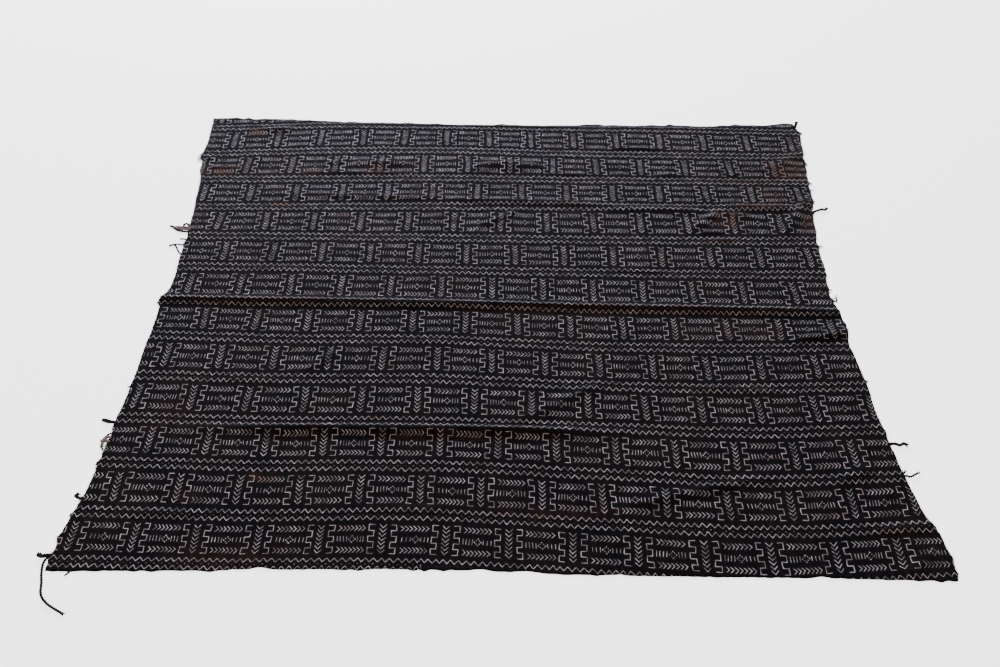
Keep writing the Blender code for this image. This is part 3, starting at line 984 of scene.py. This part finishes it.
def twistedYarn(side, rootY, radius, route, chance):
    inwards = stripEnds[side][1]
    edge = outlineAt(side, rootY)
    inside = (edge + inwards * 3.0, rootY, topAt(edge + inwards * 3.0, rootY) - 1.0)
    lip = (edge - inwards * 0.8, rootY, topAt(edge, rootY) - 1.1)
    points = [inside, lip] + [(x, y, 2.0 * radius + chance.uniform(0.0, 0.5)) for x, y in route]
    line = smoothRun(points, twist["step"])
    turn = chance.uniform(0.0, math.tau)
    plies = [[], []]
    for place, point in enumerate(line):
        ahead = line[min(place + 1, len(line) - 1)] - line[max(place - 1, 0)]
        heading = ahead / max(float(np.linalg.norm(ahead)), 1e-6)
        aside = np.array([-heading[1], heading[0], 0.0])
        aside /= max(float(np.linalg.norm(aside)), 1e-6)
        over = np.cross(heading, aside)
        left = len(line) - 1 - place
        loose = max(0, 5 - left)
        splay = 1.0 + loose * twist["splay"]
        for ply in range(2):
            angle = turn + place * twist["turn"] + ply * math.pi
            reach = radius * twist["ply"]
            off = aside * math.cos(angle) * reach * splay + over * math.sin(angle) * reach
            thin = radius * (twist["tip"] if left == 0 else 1.0 - twist["taper"] * loose)
            x, y, z = point + off
            plies[ply].append((x, y, max(z, thin + 0.05), thin))
    return plies


def tangledEnds(side, middle, reach, count, chance):
    outwards = -stripEnds[side][1]
    runs = []
    steps = tangle["steps"]
    for _ in range(count):
        y = middle + chance.gauss(0.0, tangle["spread"])
        edge = outlineAt(side, y)
        height = topAt(edge, y) - 0.6
        heading, curl = chance.gauss(0.0, tangle["bend"]), chance.gauss(0.0, tangle["curl"])
        length = reach * chance.uniform(0.5, 1.2) + tangle["root"]
        radius = chance.uniform(*tangle["thickness"])
        x = edge - outwards * tangle["root"]
        run = [(x, y, height, radius)]
        for step in range(1, steps + 1):
            x += outwards * length / steps * math.cos(heading)
            y += length / steps * math.sin(heading)
            heading += curl
            lift = max(radius + 0.05, height * (1.0 - step / steps) + chance.uniform(0.0, 1.2))
            run.append((x, y, lift, radius * (1.0 - tangle["taper"] * step)))
        runs.append(run)
    return runs


def endFray(side, chance):  # the short warp ends all along one side
    inwards = stripEnds[side][1]
    low, high = endDepth(sewnLines[-1], side), endDepth(sewnLines[0], side)
    runs = []
    y = low + 1.0
    while y < high - 1.0:
        edge = outlineAt(side, y)
        top = topAt(edge + inwards * 2.0, y)
        isLong = chance.random() < fray["long share"]
        length = chance.uniform(*(fray["long"] if isLong else fray["short"]))
        radius = chance.uniform(*fray["thickness"])
        height = top - chance.uniform(0.4, 1.5)
        swing = chance.gauss(0.0, fray["bend"])
        curl = chance.gauss(0.0, fray["curl"])
        run = [(edge + inwards * fray["root"], y, height, radius)]
        pieces = 4 if isLong else 3
        for number in range(1, pieces + 1):
            share = number / pieces
            angle = swing + curl * share
            out, aside = length * share * math.cos(angle), length * share * math.sin(angle)
            drop = max(radius + 0.05, height - (height - radius) * share**1.5 * min(1.0, length / 5.0))
            run.append((edge - inwards * out, y + aside, drop, radius * (1.0 - fray["taper"] * share)))
        runs.append(run)
        y += fray["spacing"] * chance.uniform(0.6, 1.5)
    return runs


def knottedStub(chance):
    plies = [[(x, y, radius + 0.1, radius) for x, y, radius in knot["run"]]]
    for _ in range(knot["ends"]):
        x, y, radius = chance.choice(knot["run"][1:])
        heading = chance.uniform(0.0, math.tau)
        reach = radius + chance.uniform(0.5, 2.0)
        away = (x + reach * math.cos(heading), y + reach * math.sin(heading), chance.uniform(0.4, radius))
        plies.append([(x, y, radius, 0.5), (*away, 0.3)])
    return threadMesh("knottedStub", plies, 2, looseYarn)


def frayedEnds(side):
    chance = random.Random(f"{fray['seed']} {side}")
    runs = endFray(side, chance)
    for middle, reach, count in tangles[side]:
        runs += tangledEnds(side, middle, reach, count, chance)
    fine = threadMesh(f"{side}FineFray", runs, 0, looseYarn)
    plies = []
    for rootY, radius, route in hangingYarns[side]:
        plies += twistedYarn(side, rootY, radius, route, chance)
    if side == "left":
        plies.append(nearStub)
    thick = [threadMesh(f"{side}HangingYarn", plies, 1, looseYarn)]
    if side == knot["side"]:
        thick.append(knottedStub(chance))
    pale = []
    for middle, reach, count in paleTangles[side]:
        pale += tangledEnds(side, middle, reach, count, chance)
    for rootY, radius, route in paleYarns[side]:
        pale += twistedYarn(side, rootY, radius, route, chance)
    thick.append(threadMesh(f"{side}PaleEnds", pale, 0, paleYarn))
    onlySelected(fine)
    for more in thick:
        more.select_set(True)
    bpy.ops.object.join()
    fine.name = fine.data.name = f"{side}FrayedEnds"
    return fine


leftFray = frayedEnds("left")
rightFray = frayedEnds("right")
print("frayed ends and hanging yarns made")

seamThread = {
    "from ends": 8.0,
    "spacing": 6.5,
    "reach": 1.9,
    "radius": 0.32,
    "lean": 1.3,
    "seed": 7,
}


def seamStitches(number):  # overcast stitches that join a strip to the next one
    chance = random.Random(f"{seamThread['seed']} {number}")
    line = sewnLines[number]
    x = line[0] + seamThread["from ends"]
    runs = []
    while x < line[1] - seamThread["from ends"]:
        middle = float(lineDepth(line[4], x))
        reach = seamThread["reach"] * chance.uniform(0.8, 1.2)
        lean = seamThread["lean"] * chance.uniform(0.6, 1.4)
        radius = seamThread["radius"] * chance.uniform(0.85, 1.15)
        run = []
        for share in (-1.0, -0.55, 0.0, 0.55, 1.0):
            top = topAt(x + lean * share, middle + reach * share)
            sink = -0.45 if abs(share) == 1.0 else 0.1 if share else 0.0
            run.append((x + lean * share, middle + reach * share, top + sink, radius))
        runs.append(run)
        x += seamThread["spacing"] * chance.uniform(0.85, 1.2)
    return threadMesh(f"seamStitches{number:02d}", runs, 0, sewingThread)


stitches = [seamStitches(number) for number in range(1, len(sewnLines) - 1)]
print("seams sewn")


# The floor glows so that it stays pale beside the black cloth
studio = {
    "floor": (0.86, 0.86, 0.87, 1.0),
    "floor glow": 2.7,
    "world": (0.96, 0.93, 0.94, 1.0),
    "world strength": 0.25,
}

# Lights: name, place, the point they face, size, watts and colour, with lengths in metres
lights = (
    ("farWindow", (-0.8, 3.6, 1.95), (0.0, 0.2, 0.0), (3.0, 1.3), 385.0, (0.80, 0.81, 1.0)),
    ("overhead", (0.0, 0.3, 3.4), (0.0, 0.0, 0.0), (3.0, 3.0), 7.0, (0.98, 0.96, 1.0)),
    ("frontFill", (-0.6, -2.9, 1.9), (0.0, -0.1, 0.0), (2.2, 0.8), 34.0, (1.0, 0.66, 0.40)),
)

bpy.ops.object.select_all(action="DESELECT")
bpy.ops.mesh.primitive_plane_add(size=24.0, location=(0.0, 0.0, -0.0002))
floor = bpy.context.object
floor.name = floor.data.name = "studioFloor"
floorMaterial = bpy.data.materials.new("paleFloor")
floorMaterial.use_nodes = True
floorShader = floorMaterial.node_tree.nodes["Principled BSDF"]
floorShader.inputs["Base Color"].default_value = studio["floor"]
floorShader.inputs["Roughness"].default_value = 0.9
floorShader.inputs["Emission Color"].default_value = (1.0, 1.0, 1.0, 1.0)
floorShader.inputs["Emission Strength"].default_value = studio["floor glow"]
floor.data.materials.append(floorMaterial)

world = bpy.data.worlds.new("studio light")
world.use_nodes = True
world.node_tree.nodes["Background"].inputs["Color"].default_value = studio["world"]
world.node_tree.nodes["Background"].inputs["Strength"].default_value = studio["world strength"]
bpy.context.scene.world = world


def softLight(name, place, target, size, strength, colour):
    light = bpy.data.lights.new(name, "AREA")
    light.shape = "RECTANGLE"
    light.size, light.size_y = size
    light.energy = strength
    light.color = colour
    holder = bpy.data.objects.new(name, light)
    holder.location = place
    holder.rotation_euler = (Vector(target) - Vector(place)).to_track_quat("-Z", "Y").to_euler()
    bpy.context.scene.collection.objects.link(holder)


for light in lights:
    softLight(*light)

lens = bpy.data.cameras.new("photoView")
lens.lens = camera["lens"]
lens.sensor_width = 36.0
view = bpy.data.objects.new("photoView", lens)
view.location = camera["place"]
pitch = Matrix.Rotation(math.radians(90.0 - camera["below horizon"]), 3, "X")
roll = Matrix.Rotation(math.radians(camera["roll"]), 3, "Z")
view.rotation_euler = (pitch @ roll).to_euler()
bpy.context.scene.collection.objects.link(view)
bpy.context.scene.camera = view
print("floor, light and camera set")


# What each piece stands for
for number, strip in enumerate(strips):
    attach(strip, "root")
    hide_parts(f"strip_{number:02d}")
for side, piece in (("left", leftFray), ("right", rightFray)):
    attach(piece, "root")
    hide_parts(f"{side}_ends")
for seam in stitches:
    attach(seam, "root")

bpy.context.view_layer.update()
